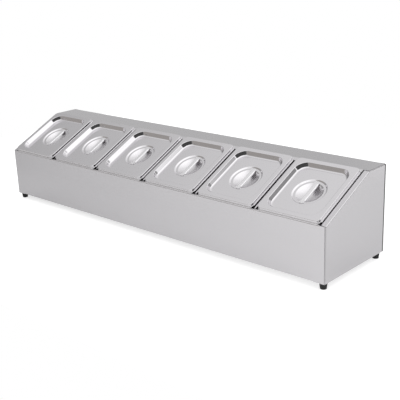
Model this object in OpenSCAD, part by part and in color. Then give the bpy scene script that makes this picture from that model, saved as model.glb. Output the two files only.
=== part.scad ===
// Countertop ingredient rail: a folded sheet-metal housing with a sloping deck that
// carries a row of lift-out food pans, each closed by a recessed lid with a strap handle.
// Millimetres. X runs along the rail, Y from the front to the rear, Z is up.
// The origin is the middle of the whole rail's box, at the underside of its feet.
// The housing's own frame starts at its front face and its underside. The deck's frame
// starts at the deck's front edge: x along the rail, y up the slope, z square to it.

/* [Housing] */
// Height of the housing at its front, without the feet
front_h = 125; // [110:1:160]
// Slope of the deck from level, in degrees
deck_angle = 25.6; // [20:0.1:30]
// Depth of the level shelf behind the pans
shelf_d = 68; // [50:1:72]

/* [Sheet metal] */
// Thickness of the housing's sheet
sheet_t = 1; // [0.8:0.1:1.2]
// Outer radius of the housing's bends
bend_r = 2; // [1.5:0.5:4]
// Width of the side panels' strip that frames the deck
deck_strip_w = 12.5; // [10:0.5:13]
// Width of the folded edges that are hidden inside, from the outer face
hidden_flange_w = 15; // [10:1:18]
// Width of the folded edges under the housing, from the outer face
bottom_flange_w = 28; // [26:1:40]
// Gap in the mitred corners of the folded edges
mitre_gap = 0.5; // [0.3:0.1:1]
// Width of the open seams beside the side panels' bends
seam_w = 0.8; // [0.4:0.1:1]

/* [Pan ledges] */
// Width of the ledge tab under each pan's front rim, beyond the bend
front_ledge_w = 9; // [7:0.5:9.5]
// Width of the ledge under the pans' rear rims, beyond the bend
rear_ledge_w = 10; // [8:0.5:12]
// Width of the front ledge that is left between the tabs, beyond the bend
ledge_root_w = 1; // [0.5:0.5:3]
// Distance from a pan's side rim to the end of its ledge tabs
ledge_tab_in = 12; // [10:1:30]

/* [Divider bars] */
// Width of a divider bar between two pans
bar_w = 6.5; // [5:0.5:7]
// Depth of a divider bar's folded sides below the deck
bar_side_h = 8; // [4:0.5:14]
// Outer radius of a divider bar's bends
bar_bend_r = 1.5; // [1.2:0.1:2]

/* [Pans] */
// Width of a pan over its rim, along the rail
pan_w = 162; // [160:0.5:163]
// Length of a pan over its rim, up the slope
pan_l = 176; // [174:0.5:177]
// Depth of a pan from its rim to its underside
pan_depth = 100; // [60:1:110]
// Thickness of a pan's wall
pan_t = 0.8; // [0.6:0.1:1]
// Flat width of a pan's rim
rim_w = 13; // [12:0.5:13.5]
// Height of a pan's turned-down rim
rim_h = 4; // [3.5:0.5:6]
// Radius of the rim's corners, seen from above
rim_corner_r = 12; // [8:1:16]
// Radius of the pan's mouth at its corners, seen from above
mouth_corner_r = 24; // [22:1:30]
// Slope of the pan's walls from upright, in degrees
pan_draft = 3.5; // [1:0.5:4]
// Radius of the bend between the rim and the wall
pan_lip_r = 3; // [2:0.5:4]
// Inner radius of the bend between the wall and the floor
pan_floor_r = 10; // [6:1:12]
// Gap between the rims of neighbouring pans
pan_gap = 10.5; // [10:0.5:12]
// Gap between the last pan's rim and the side panel's face
end_gap = 14; // [13.5:0.25:16]
// Distance of the pan's front rim from the deck's front edge
front_gap = -0.2; // [-0.5:0.1:1]
// Distance of the pan's rear rim from the shelf's edge
rear_gap = 3.8; // [3:0.1:6]

/* [Lids] */
// Distance from a pan's rim in to the lid's edge at the sides
lid_side_in = 1.5; // [1:0.05:2]
// Distance from a pan's rim in to the lid's edge at the front and rear
lid_end_in = 2.25; // [1.5:0.05:3]
// Thickness of a lid's sheet
lid_t = 0.7; // [0.5:0.1:0.9]
// Height of a lid's turned-down edge
lid_edge_h = 5; // [3:0.5:6]
// Radius of a lid's corners, seen from above
lid_corner_r = 11; // [8:1:16]
// Flat width of the lid at the sides of its recess
lid_side_w = 12.25; // [12.25:0.25:16]
// Flat width of the lid in front of its recess and behind it
lid_end_w = 11.75; // [11.5:0.25:14]
// Radius of the recess at its corners, seen from above
recess_corner_r = 26; // [20:1:28]
// Depth of the lid's recess
recess_depth = 10.5; // [8:0.5:12]
// Slope of the recess's walls from upright, in degrees
recess_draft = 28; // [20:1:32]
// How far a lid lies down the slope from its pan's middle
lid_slip = 0.75; // [0:0.05:0.8]

/* [Lid dish and handle] */
// Diameter of the dish at the recess's floor
dish_d = 76; // [72:1:82]
// How far the dish lies down the slope from the recess's middle
dish_slip = 0.5; // [0:0.5:3]
// Depth of the ledge that carries the handle
dish_step = 3; // [2:0.5:4]
// Width of the ledge, with its rounded foot
ledge_ring_w = 7; // [6:0.5:9]
// Depth of the bowl below the ledge
bowl_depth = 12; // [10:0.5:14]
// Width of the strap handle
strap_w = 12; // [10:0.5:14]
// Distance from the edge of the ledge's flat in to the strap's end
strap_end_in = 0.6; // [0.3:0.1:1.5]
// Thickness of the strap handle
strap_t = 1.2; // [1:0.1:1.5]
// Length of the strap's flat ends
strap_flat_l = 10.5; // [9.5:0.5:16]
// Height of the strap over its turned-down sides
strap_side_h = 3; // [2.6:0.1:3.5]
// Outer radius of the strap's bends
strap_bend_r = 2.4; // [1.6:0.1:2.5]
// Radius of the strap's corners at its flat ends
strap_corner_r = 3; // [1:0.5:5]

/* [Feet] */
// Height of a foot
foot_h = 15; // [12:0.5:25]
// Diameter of a foot at its top
foot_top_d = 18; // [16:0.5:20]
// Diameter of a foot at the surface it stands on
foot_end_d = 14; // [13:0.5:16]
// Distance of a foot's middle from the housing's faces
foot_inset = 12.5; // [12:0.5:16]

/* [Fasteners] */
// Diameter of the screws that hold the feet
screw_d = 5; // [4:1:5]
// Radial clearance of a screw or rivet in its hole
hole_clear = 0.2; // [0.1:0.05:0.4]
// Diameter of a foot screw's head
screw_head_d = 8.5; // [8:0.5:9]
// Height of a foot screw's head
screw_head_h = 3.5; // [3:0.5:4]
// Depth of the screw's pocket in the foot
screw_pocket_h = 5; // [4.5:0.5:7]
// Diameter of a washer
washer_d = 10; // [9:0.5:11]
// Width of a nut across its flats
nut_w = 8; // [7:0.5:8.5]
// Height of a nut
nut_h = 4; // [3:0.5:5]
// Diameter of a rivet's shank
rivet_d = 3.2; // [3:0.1:4]
// Diameter of a rivet's head
rivet_head_d = 6.5; // [6:0.5:8]
// Height of a rivet's head
rivet_head_h = 1.3; // [1:0.1:1.6]

/* [Clearances] */
// Gap under a pan's rim and under a lid's edge
seat_gap = 0.3; // [0.2:0.05:0.4]
// Gap between the housing's panels where their edges pass each other
panel_gap = 0.5; // [0.3:0.1:0.8]

/* [Hidden] */
$fn = 48;
// Number of pans, which the list of nodes follows
pan_count = 6;
// Straight steps in each rounded bend of a pressed or rolled part
bend_steps = 4;
// Straight steps in each fold of the housing
fold_steps = 6;
// Steps in the bowl's curve
bowl_steps = 10;
// Overrun of a cut through a sheet
cut = 1;
// Overlap of a bend's section with the flat that it borders
lap = 1;

// Distance from one pan's middle to the next
pan_pitch = pan_w + pan_gap;
// Length of the deck along its slope and along the level
deck_l = front_gap + pan_l + rear_gap;
slope_run = deck_l * cos(deck_angle);
// Length, depth and rear height of the housing, which follow from its pans
body_l = pan_count * pan_pitch - pan_gap + 2 * end_gap;
body_d = slope_run + shelf_d;
rear_h = front_h + deck_l * sin(deck_angle);
ledge_tab_l = pan_w - 2 * ledge_tab_in;

// Sizes of the lid and its recess, seen from above, and of its bowl and strap
lid_w = pan_w - 2 * lid_side_in;
lid_l = pan_l - 2 * lid_end_in;
recess_w = lid_w - 2 * lid_side_w;
recess_l = lid_l - 2 * lid_end_w;
bowl_d = dish_d - 2 * ledge_ring_w;

// Heights of the rim and of the lid above the deck
rim_z = seat_gap + rim_h;
lid_z = rim_z + seat_gap + lid_edge_h;
// Outer radii of the turned-down edges, which stay above the sheet's thickness
rim_edge_r = pan_t * 3;
lid_edge_r = lid_t * 2;
// Middles of the pans and lids up the slope
pan_mid = front_gap + pan_l / 2;
lid_mid = pan_mid - lid_slip;
// Bends of the lid's recess and of its dish
recess_lip_r = lid_t * 2;
recess_foot_r = lid_t * 8;
dish_lip_r = lid_t * 3;
dish_foot_r = lid_t * 2;
// The dish's shoulder leans by this angle from upright, in degrees
dish_draft = 45;
// The strap's length, which ends on the flat of the dish's ledge
ledge_d = dish_d + 2 * foot_centre(0, dish_step, dish_draft, dish_lip_r, dish_foot_r).x;
strap_l = ledge_d - 2 * strap_end_in;
strap_side_l = strap_l - 2 * strap_flat_l;

// Fastener places, with the side rivets in the middle of the flange's flat
rivet_side_in = (hidden_flange_w + bend_r) / 2;
rivet_side_rows = 3;
rivet_top_count = 6;
rivet_tail_d = rivet_d * 1.4;
rivet_tail_h = rivet_d * 0.6;
washer_t = 1;
screw_end = 1;

// Front face's place that centres the whole rail on the origin
lid_lean = lid_edge_r - (lid_mid - lid_l / 2 + lid_edge_r) * cos(deck_angle)
    + (lid_z - lid_edge_r) * sin(deck_angle);
front_y = (lid_lean - body_d - rivet_head_h) / 2;

// Colours
steel = [0.79, 0.79, 0.80];
inner_steel = [0.68, 0.68, 0.70];
pan_steel = [0.74, 0.74, 0.75];
zinc = [0.62, 0.64, 0.66];
rubber = [0.10, 0.10, 0.11];

FEET = ["front_left", "front_right", "rear_left", "rear_right"];

// Plane geometry

function unit(v) = v / norm(v);
function crossing(p, d, q, e) = p + d * (cross(q - p, e) / cross(d, e));
function arc(c, r, from, to, steps) =
    [for (k = [0:steps]) let (a = from + (to - from) * k / steps) c + r * [cos(a), sin(a)]];

// Edges of an outline whose corners run anticlockwise
function corner(p, i) = p[(i + len(p)) % len(p)];
function along(p, i) = unit(corner(p, i + 1) - corner(p, i));
function outward(p, i) = [along(p, i).y, -along(p, i).x];
function setback(fold) = fold[0] == 0 ? 0 : bend_r * tan(fold[0] / 2);
function inner_corner(p, folds, i) = crossing(
    corner(p, i) - outward(p, i - 1) * setback(corner(folds, i - 1)), along(p, i - 1),
    corner(p, i) - outward(p, i) * setback(corner(folds, i)), along(p, i)
);
// A fold is [angle, width beyond the bend, trim at each end]. A fold with no trim runs
// into its neighbours, and its ends follow the corners' mitres.
function fold_start(p, folds, i) = folds[i][2] == 0
    ? inner_corner(p, folds, i)
    : corner(p, i) + along(p, i) * folds[i][2] - outward(p, i) * setback(folds[i]);
function fold_end(p, folds, i) = folds[i][2] == 0
    ? inner_corner(p, folds, i + 1)
    : corner(p, i + 1) - along(p, i) * folds[i][2] - outward(p, i) * setback(folds[i]);
function fold_far(p, folds, i, from, at) = folds[i][2] == 0
    ? from + (corner(p, at) - from) * 2
    : from + outward(p, i) * (2 * bend_r + folds[i][1]);
// The part of the plate's plane that belongs to a fold
function fold_area(p, folds, i, gap) =
    let (a = fold_start(p, folds, i), b = fold_end(p, folds, i), d = along(p, i) * gap)
    [a + d, fold_far(p, folds, i, a, i) + d, fold_far(p, folds, i, b, i + 1) - d, b - d];
// The same with the strip of the plate that the fold laps
function lapped_area(p, folds, i, gap) =
    let (area = fold_area(p, folds, i, gap), in = outward(p, i) * lap)
    concat(area, [area[3] - in, area[0] - in]);

// Section across a folded edge: x outward from the bend's start, y into the part
function fold_section(fold) =
    let (
        c = [0, bend_r], end = fold[0] - 90, flat = fold[1] * [cos(fold[0]), sin(fold[0])],
        outer = arc(c, bend_r, -90, end, fold_steps),
        inner = arc(c, bend_r - sheet_t, end, -90, fold_steps)
    )
    concat([[-lap, 0]], outer, [outer[fold_steps] + flat, inner[0] + flat], inner, [[-lap, sheet_t]]);

// Flat plate with folded edges. Its outer face is at z = 0 and it folds towards +z.
module folded_panel(outline, folds) {
    linear_extrude(sheet_t) difference() {
        polygon(outline);
        for (i = [0:len(outline) - 1]) if (folds[i][0] > 0)
            polygon(fold_area(outline, folds, i, 0));
    }
    for (i = [0:len(outline) - 1]) if (folds[i][0] > 0) {
        a = fold_start(outline, folds, i);
        b = fold_end(outline, folds, i);
        out = outward(outline, i);
        intersection() {
            translate(concat((a + b) / 2, 0)) rotate([0, 0, atan2(out.y, out.x)]) rotate([90, 0, 0])
                linear_extrude(norm(b - a), center = true) polygon(fold_section(folds[i]));
            linear_extrude(bend_r + folds[i][1])
                polygon(lapped_area(outline, folds, i, folds[i][2] == 0 ? mitre_gap / 2 : 0));
        }
    }
}

// Rounded rectangle about the origin
module rounded_rect(size, r) {
    square([size.x - 2 * r, size.y], center = true);
    square([size.x, size.y - 2 * r], center = true);
    for (sx = [-1, 1], sy = [-1, 1])
        translate([sx * (size.x / 2 - r), sy * (size.y / 2 - r)]) circle(r);
}

// Sweeps a section round a rounded rectangle. The section's x is outward from the
// rectangle's edge and its y is up.
module sweep_round(size, r) {
    for (k = [0:3]) rotate([0, 0, 90 * k]) {
        across = (k % 2 == 0 ? size.x : size.y) / 2 - r;
        run = (k % 2 == 0 ? size.y : size.x) / 2 - r;
        translate([across, 0, 0]) rotate([90, 0, 0])
            linear_extrude(2 * run, center = true) translate([r, 0]) children();
        translate([across, run, 0]) rotate_extrude(angle = 90)
            translate([r, 0]) children();
    }
}

// Section of a pressed wall that drops from a flat at height z: a rounded lip, a wall
// that leans inward by draft degrees, and a rounded foot that ends flat. It laps the
// flats at its top and at its foot.
function lip_centre(z, lip_r) = [lip_r, z - lip_r];
function wall_top(z, lip_r, draft) = lip_centre(z, lip_r) + lip_r * [-cos(draft), sin(draft)];
function foot_centre(z, depth, draft, lip_r, foot_r) =
    let (top = wall_top(z, lip_r, draft), cz = z - depth + foot_r, foot_z = cz - foot_r * sin(draft))
    [top.x - (top.y - foot_z) * tan(draft) - foot_r * cos(draft), cz];
function drop_section(z, depth, t, draft, lip_r, foot_r) =
    let (lip = lip_centre(z, lip_r), foot = foot_centre(z, depth, draft, lip_r, foot_r))
    concat(
        [[lip_r + lap, z]],
        arc(lip, lip_r, 90, 180 - draft, bend_steps),
        arc(foot, foot_r, -draft, -90, bend_steps),
        [[foot.x - lap, z - depth], [foot.x - lap, z - depth - t]],
        arc(foot, foot_r + t, -90, -draft, bend_steps),
        arc(lip, lip_r - t, 180 - draft, 90, bend_steps),
        [[lip_r + lap, z - t]]
    );

// Section of a turned-down edge, inward from the outline, from height z down to low.
// It laps the flat that it borders.
function edge_section(z, low, t, r) = concat(
    [[-r - lap, z]],
    arc([-r, z - r], r, 90, 0, bend_steps),
    [[0, low], [-t, low]],
    arc([-r, z - r], r - t, 0, 90, bend_steps),
    [[-r - lap, z - t]]
);

// Strip with both edges turned down, along y, with its top at z = t
module channel(w, length, t, r, side_h) {
    c = [w / 2 - r, t - r];
    rotate([90, 0, 0]) linear_extrude(length, center = true) polygon(concat(
        arc(c, r, 90, 0, bend_steps),
        [[w / 2, t - side_h], [w / 2 - t, t - side_h]],
        arc(c, r - t, 0, 90, bend_steps),
        arc([-c.x, c.y], r - t, 90, 180, bend_steps),
        [[t - w / 2, t - side_h], [-w / 2, t - side_h]],
        arc([-c.x, c.y], r, 180, 90, bend_steps)
    ));
}

// Frames

module in_housing() {
    translate([0, front_y, foot_h]) children();
}

module on_deck() {
    in_housing() translate([0, 0, front_h]) rotate([deck_angle, 0, 0]) children();
}

function pan_x(i) = (i - (pan_count + 1) / 2) * pan_pitch;

module at_pan(i) {
    on_deck() translate([pan_x(i), pan_mid, 0]) children();
}

module at_lid(i) {
    on_deck() translate([pan_x(i), lid_mid, 0]) children();
}

// Housing

panel_half_l = body_l / 2 - bend_r - seam_w;
deck_half_l = body_l / 2 - hidden_flange_w - panel_gap;
deck_trim = panel_half_l - deck_half_l;
bottom_trim = bottom_flange_w + panel_gap - bend_r;

// Cuts a folded ledge back to its tabs, which are under the pans' rims and under the
// ends of the divider bars. Up the slope, the tabs lie from near to far.
module between_tabs(near, far) {
    cut_l = (pan_pitch - ledge_tab_l - bar_top_w) / 2;
    for (i = [1:pan_count], s = [-1, 1])
        translate([pan_x(i) + s * (ledge_tab_l + cut_l) / 2, (near + far) / 2, -sheet_t / 2])
            cube([cut_l, far - near, sheet_t + 2 * cut], center = true);
}

module front_panel() {
    deck_fold = 90 - deck_angle;
    ledge_from = setback([deck_fold]);
    outline = [
        [-panel_half_l, 0], [panel_half_l, 0], [panel_half_l, front_h], [-panel_half_l, front_h]
    ];
    folds = [
        [90, bottom_flange_w - bend_r, bottom_trim], [0], [deck_fold, front_ledge_w, deck_trim], [0]
    ];
    color(steel) difference() {
        in_housing() rotate([90, 0, 180]) folded_panel(outline, folds);
        on_deck() between_tabs(ledge_from + ledge_root_w, ledge_from + front_ledge_w + cut);
    }
}

module top_shelf() {
    outline = [
        [-panel_half_l, -(body_d - sheet_t)], [panel_half_l, -(body_d - sheet_t)],
        [panel_half_l, -slope_run], [-panel_half_l, -slope_run]
    ];
    folds = [
        [90, hidden_flange_w - bend_r, hidden_flange_w + panel_gap - bend_r], [0],
        [deck_angle, rear_ledge_w, deck_trim], [0]
    ];
    color(steel) difference() {
        in_housing() translate([0, 0, rear_h]) rotate([180, 0, 0]) folded_panel(outline, folds);
        in_housing() at_top_rivets() rivet_hole();
    }
}

module side_panel() {
    low_y = sheet_t;
    high_y = body_d - sheet_t;
    top_z = rear_h - sheet_t;
    outline = [
        [low_y, 0], [high_y, 0], [high_y, top_z],
        [(top_z - front_h) / tan(deck_angle), top_z], [low_y, front_h + low_y * tan(deck_angle)]
    ];
    hidden = [90, hidden_flange_w - bend_r, 0];
    folds = [[90, bottom_flange_w - bend_r, 0], hidden, hidden, [90, deck_strip_w - bend_r, 0], hidden];
    in_housing() difference() {
        translate([-body_l / 2, 0, 0]) rotate([90, 0, 90]) folded_panel(outline, folds);
        at_side_rivets() rivet_hole();
        at_feet() screw_hole();
    }
}

module left_side_panel() {
    color(steel) side_panel();
}

module right_side_panel() {
    color(steel) mirror([1, 0, 0]) side_panel();
}

module back_panel() {
    outline = [
        [-panel_half_l, 0], [panel_half_l, 0],
        [panel_half_l, rear_h - bend_r], [-panel_half_l, rear_h - bend_r]
    ];
    folds = [[90, bottom_flange_w - bend_r, bottom_trim], [0], [0], [0]];
    color(steel) in_housing() difference() {
        translate([0, body_d, 0]) rotate([90, 0, 0]) folded_panel(outline, folds);
        at_side_rivets() rivet_hole();
        at_top_rivets() rivet_hole();
    }
}

module base_panel() {
    inset = bend_r + panel_gap;
    color(inner_steel) in_housing() difference() {
        translate([-body_l / 2 + inset, inset, sheet_t])
            cube([body_l - 2 * inset, body_d - 2 * inset, sheet_t]);
        at_feet() screw_hole();
    }
}

// Flat width of a divider bar's top
bar_top_w = bar_w - 2 * bar_bend_r;

module divider_bar() {
    end_in = setback([90 - deck_angle]) + panel_gap;
    side_in = end_in + max(front_ledge_w, rear_ledge_w);
    color(steel) translate([0, deck_l / 2, 0]) {
        translate([0, 0, sheet_t / 2])
            cube([bar_top_w, deck_l - 2 * end_in, sheet_t], center = true);
        channel(bar_w, deck_l - 2 * side_in, sheet_t, bar_bend_r, sheet_t + bar_side_h);
    }
}

// Pans and lids

module pan() {
    mouth = [pan_w - 2 * rim_w, pan_l - 2 * rim_w];
    foot = foot_centre(rim_z, pan_depth - pan_t, pan_draft, pan_lip_r, pan_floor_r);
    color(pan_steel) {
        translate([0, 0, rim_z - pan_t]) linear_extrude(pan_t) difference() {
            rounded_rect([pan_w, pan_l] - 2 * rim_edge_r * [1, 1], rim_corner_r - rim_edge_r);
            rounded_rect(mouth + 2 * pan_lip_r * [1, 1], mouth_corner_r + pan_lip_r);
        }
        sweep_round([pan_w, pan_l], rim_corner_r)
            polygon(edge_section(rim_z, seat_gap, pan_t, rim_edge_r));
        sweep_round(mouth, mouth_corner_r)
            polygon(drop_section(rim_z, pan_depth - pan_t, pan_t, pan_draft, pan_lip_r, pan_floor_r));
        translate([0, 0, rim_z - pan_depth]) linear_extrude(pan_t)
            rounded_rect(mouth + 2 * foot.x * [1, 1], mouth_corner_r + foot.x);
    }
}

floor_z = lid_z - recess_depth;
ledge_z = floor_z - dish_step;

module lid() {
    recess = [recess_w, recess_l];
    foot = foot_centre(lid_z, recess_depth, recess_draft, recess_lip_r, recess_foot_r);
    dish_foot = foot_centre(floor_z, dish_step, dish_draft, dish_lip_r, dish_foot_r);
    color(steel) {
        translate([0, 0, lid_z - lid_t]) linear_extrude(lid_t) difference() {
            rounded_rect([lid_w, lid_l] - 2 * lid_edge_r * [1, 1], lid_corner_r - lid_edge_r);
            rounded_rect(recess + 2 * recess_lip_r * [1, 1], recess_corner_r + recess_lip_r);
        }
        sweep_round([lid_w, lid_l], lid_corner_r)
            polygon(edge_section(lid_z, rim_z + seat_gap, lid_t, lid_edge_r));
        sweep_round(recess, recess_corner_r)
            polygon(drop_section(lid_z, recess_depth, lid_t, recess_draft, recess_lip_r, recess_foot_r));
        translate([0, 0, floor_z - lid_t]) linear_extrude(lid_t) difference() {
            rounded_rect(recess + 2 * foot.x * [1, 1], recess_corner_r + foot.x);
            translate([0, -dish_slip]) circle(dish_d / 2 + dish_lip_r);
        }
        translate([0, -dish_slip, 0]) rotate_extrude() {
            translate([dish_d / 2, 0]) polygon(
                drop_section(floor_z, dish_step, lid_t, dish_draft, dish_lip_r, dish_foot_r));
            polygon(bowl_section(dish_d / 2 + dish_foot.x));
        }
    }
}

// Half section of the ledge ring and the bowl, out to the dish's foot
function bowl_section(ledge_r) =
    let (
        mouth_r = bowl_d / 2,
        curve_r = (pow(mouth_r, 2) + pow(bowl_depth, 2)) / (2 * bowl_depth),
        rim_angle = asin(mouth_r / curve_r),
        c = [0, ledge_z - bowl_depth + curve_r]
    )
    concat(
        [[ledge_r, ledge_z]],
        arc(c, curve_r, rim_angle - 90, -90, bowl_steps),
        arc(c, curve_r + lid_t, -90, rim_angle - 90, bowl_steps),
        [[ledge_r, ledge_z - lid_t]]
    );

// The strap lies across the bowl with its flat ends on the ledge
module lid_handle() {
    end_l = (strap_l - strap_side_l) / 2 + lap;
    color(steel) translate([0, -dish_slip, ledge_z]) {
        channel(strap_w, strap_side_l, strap_t, strap_bend_r, strap_side_h);
        for (s = [-1, 1]) translate([0, s * (strap_l - end_l) / 2, 0])
            linear_extrude(strap_t) rounded_rect([strap_w, end_l], strap_corner_r);
    }
}

// Feet and fasteners

foot_x = body_l / 2 - foot_inset;
function foot_place(f) = [
    (f == 0 || f == 2 ? -1 : 1) * foot_x,
    f < 2 ? foot_inset : body_d - foot_inset
];

module at_foot(f) {
    translate(concat(foot_place(f), 0)) children();
}

module at_feet() {
    for (f = [0:len(FEET) - 1]) at_foot(f) children();
}

module screw_hole() {
    translate([0, 0, -foot_h]) cylinder(h = foot_h + 2 * sheet_t + cut, d = screw_d + 2 * hole_clear);
}

module foot() {
    color(rubber) difference() {
        translate([0, 0, -foot_h]) cylinder(h = foot_h, d1 = foot_end_d, d2 = foot_top_d);
        screw_hole();
        translate([0, 0, -foot_h - cut])
            cylinder(h = screw_pocket_h + cut, d = screw_head_d + 2 * hole_clear);
    }
}

module foot_screw() {
    head_top = screw_pocket_h - foot_h;
    color(zinc) {
        translate([0, 0, head_top - screw_head_h]) cylinder(h = screw_head_h, d = screw_head_d);
        translate([0, 0, head_top])
            cylinder(h = 2 * sheet_t + washer_t + nut_h + screw_end - head_top, d = screw_d);
    }
}

module foot_washer() {
    color(zinc) translate([0, 0, 2 * sheet_t]) difference() {
        cylinder(h = washer_t, d = washer_d);
        translate([0, 0, -cut]) cylinder(h = washer_t + 2 * cut, d = screw_d + 2 * hole_clear);
    }
}

module foot_nut() {
    color(zinc) translate([0, 0, 2 * sheet_t + washer_t]) difference() {
        cylinder(h = nut_h, d = nut_w / cos(30), $fn = 6);
        translate([0, 0, -cut]) cylinder(h = nut_h + 2 * cut, d = screw_d + hole_clear);
    }
}

// Rivet places: x and z are in the housing's frame and z points out of the back panel
module at_side_rivets() {
    for (s = [-1, 1], k = [1:rivet_side_rows])
        translate([s * (body_l / 2 - rivet_side_in), body_d, rear_h * k / (rivet_side_rows + 1)])
            rotate([-90, 0, 0]) children();
}

module at_top_rivets() {
    for (k = [1:rivet_top_count])
        translate([
            (k - (rivet_top_count + 1) / 2) * body_l / (rivet_top_count + 1),
            body_d, rear_h - rivet_side_in
        ]) rotate([-90, 0, 0]) children();
}

module rivet_hole() {
    translate([0, 0, -2 * sheet_t - cut])
        cylinder(h = 2 * sheet_t + 2 * cut, d = rivet_d + 2 * hole_clear);
}

module rivet() {
    color(zinc) {
        translate([0, 0, -2 * sheet_t]) cylinder(h = 2 * sheet_t, d = rivet_d);
        cylinder(h = rivet_head_h, d1 = rivet_head_d, d2 = rivet_d);
        translate([0, 0, -2 * sheet_t - rivet_tail_h]) cylinder(h = rivet_tail_h, d = rivet_tail_d);
    }
}

front_panel();
left_side_panel();
right_side_panel();
top_shelf();
back_panel();
base_panel();
for (i = [1:pan_count - 1])
    on_deck() translate([(pan_x(i) + pan_x(i + 1)) / 2, 0, 0]) divider_bar();
for (i = [1:pan_count]) {
    at_pan(i) pan();
    at_lid(i) lid();
    at_lid(i) lid_handle();
}
for (f = [0:len(FEET) - 1])
    in_housing() at_foot(f) foot();
in_housing() at_feet() foot_screw();  // foot_screws
in_housing() at_feet() foot_washer();  // foot_washers
in_housing() at_feet() foot_nut();  // foot_nuts
in_housing() { at_side_rivets() rivet(); at_top_rivets() rivet(); }  // back_panel_rivets
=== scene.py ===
"""Looks of the ingredient rail: folded steel housing, six pans, their lids and handles, feet.

Lengths are in millimetres up to the point where a mesh is made, and follow the part's source.
Housing frame: x along the rail, y from the front face to the rear, z up from its underside.
Deck frame: x along the rail, y up the slope from the deck's front edge, z square to it.
"""

import math

import bmesh
import bpy
from mathutils import Matrix, Vector


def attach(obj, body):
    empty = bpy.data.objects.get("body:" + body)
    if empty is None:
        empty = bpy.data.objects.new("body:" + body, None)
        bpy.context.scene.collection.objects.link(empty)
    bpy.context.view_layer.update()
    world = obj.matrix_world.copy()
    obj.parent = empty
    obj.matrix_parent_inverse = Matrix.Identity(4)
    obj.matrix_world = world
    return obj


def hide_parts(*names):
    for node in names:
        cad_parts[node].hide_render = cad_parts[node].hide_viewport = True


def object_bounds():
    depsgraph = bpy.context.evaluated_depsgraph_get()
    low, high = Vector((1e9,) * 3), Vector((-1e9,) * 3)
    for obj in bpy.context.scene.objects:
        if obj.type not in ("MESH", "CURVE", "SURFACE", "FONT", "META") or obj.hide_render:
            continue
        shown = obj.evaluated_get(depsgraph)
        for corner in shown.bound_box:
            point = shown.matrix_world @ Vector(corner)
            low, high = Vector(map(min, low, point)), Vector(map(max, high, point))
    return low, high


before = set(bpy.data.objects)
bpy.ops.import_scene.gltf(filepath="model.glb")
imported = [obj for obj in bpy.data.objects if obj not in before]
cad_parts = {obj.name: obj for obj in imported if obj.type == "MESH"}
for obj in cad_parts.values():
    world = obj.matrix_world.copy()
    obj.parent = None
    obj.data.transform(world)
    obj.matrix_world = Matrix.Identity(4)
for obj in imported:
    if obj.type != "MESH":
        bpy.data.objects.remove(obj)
cad_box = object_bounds()

MM = 0.001
SHARP = math.radians(35)
CORNER_STEPS = 12
BEND_STEPS = 8
BOWL_STEPS = 14
TURN_STEPS = 48
TOLERANCE = 1e-6

# Pans, and what follows from their size
PAN_COUNT = 6
PAN_W, PAN_L, PAN_DEPTH, PAN_T = 162, 176, 100, 0.8
PAN_GAP, END_GAP, FRONT_GAP, REAR_GAP = 10.5, 14, -0.2, 3.8
RIM_W, RIM_H, RIM_CORNER_R, MOUTH_CORNER_R = 13, 4, 12, 24
PAN_DRAFT, PAN_LIP_R, PAN_FLOOR_R, PAN_EDGE_R = 3.5, 3, 10, PAN_T * 3
SEAT_GAP = 0.3
PITCH = PAN_W + PAN_GAP
PAN_MID = FRONT_GAP + PAN_L / 2

# Housing
SHEET_T, BEND_R, PANEL_GAP, MITRE_GAP, SEAM_W = 1, 2, 0.5, 0.5, 0.8
FRONT_H, SHELF_D = 125, 68
DECK_ANGLE = math.radians(25.6)
DECK_L = FRONT_GAP + PAN_L + REAR_GAP
BODY_L = PAN_COUNT * PITCH - PAN_GAP + 2 * END_GAP
BODY_D = DECK_L * math.cos(DECK_ANGLE) + SHELF_D
REAR_H = FRONT_H + DECK_L * math.sin(DECK_ANGLE)
DECK_STRIP_W, HIDDEN_FLANGE_W, BOTTOM_FLANGE_W = 12.5, 15, 28
FRONT_LEDGE_W, REAR_LEDGE_W, LEDGE_ROOT_W = 9, 10, 1
LEDGE_TAB_L = PAN_W - 24
BAR_W, BAR_SIDE_H, BAR_BEND_R = 6.5, 8, 1.5
PANEL_HALF_L = BODY_L / 2 - BEND_R - SEAM_W
DECK_HALF_L = BODY_L / 2 - HIDDEN_FLANGE_W - PANEL_GAP

# Lids
LID_W, LID_L, LID_T, LID_CORNER_R = PAN_W - 3, PAN_L - 4.5, 0.7, 11
LID_EDGE_H, LID_EDGE_R = 5, LID_T * 2
RECESS_W, RECESS_L, RECESS_DEPTH = LID_W - 24.5, LID_L - 23.5, 10.5
RECESS_CORNER_R, RECESS_DRAFT, RECESS_LIP_R, RECESS_FOOT_R = 26, 28, LID_T * 2, LID_T * 8
DISH_D, DISH_STEP, DISH_DRAFT, DISH_LIP_R, DISH_FOOT_R = 76, 3, 45, LID_T * 3, LID_T * 2
BOWL_D, BOWL_DEPTH, MOUTH_BEND_R = DISH_D - 14, 12, 2
RIM_Z = SEAT_GAP + RIM_H
LID_Z = RIM_Z + SEAT_GAP + LID_EDGE_H
FLOOR_Z = LID_Z - RECESS_DEPTH
LEDGE_Z = FLOOR_Z - DISH_STEP
LID_FORWARD, DISH_SLIP = 0.75, 0.5
LID_MID = PAN_MID - LID_FORWARD

# Strap handles
STRAP_W, STRAP_END_IN, STRAP_T = 12, 0.6, 1.2
STRAP_FLAT_L, STRAP_SIDE_H, STRAP_BEND_R, STRAP_CORNER_R = 10.5, 3, 2.4, 3
STRAP_FADE_L, STRAP_FADE_STEPS = 4, 6

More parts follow.
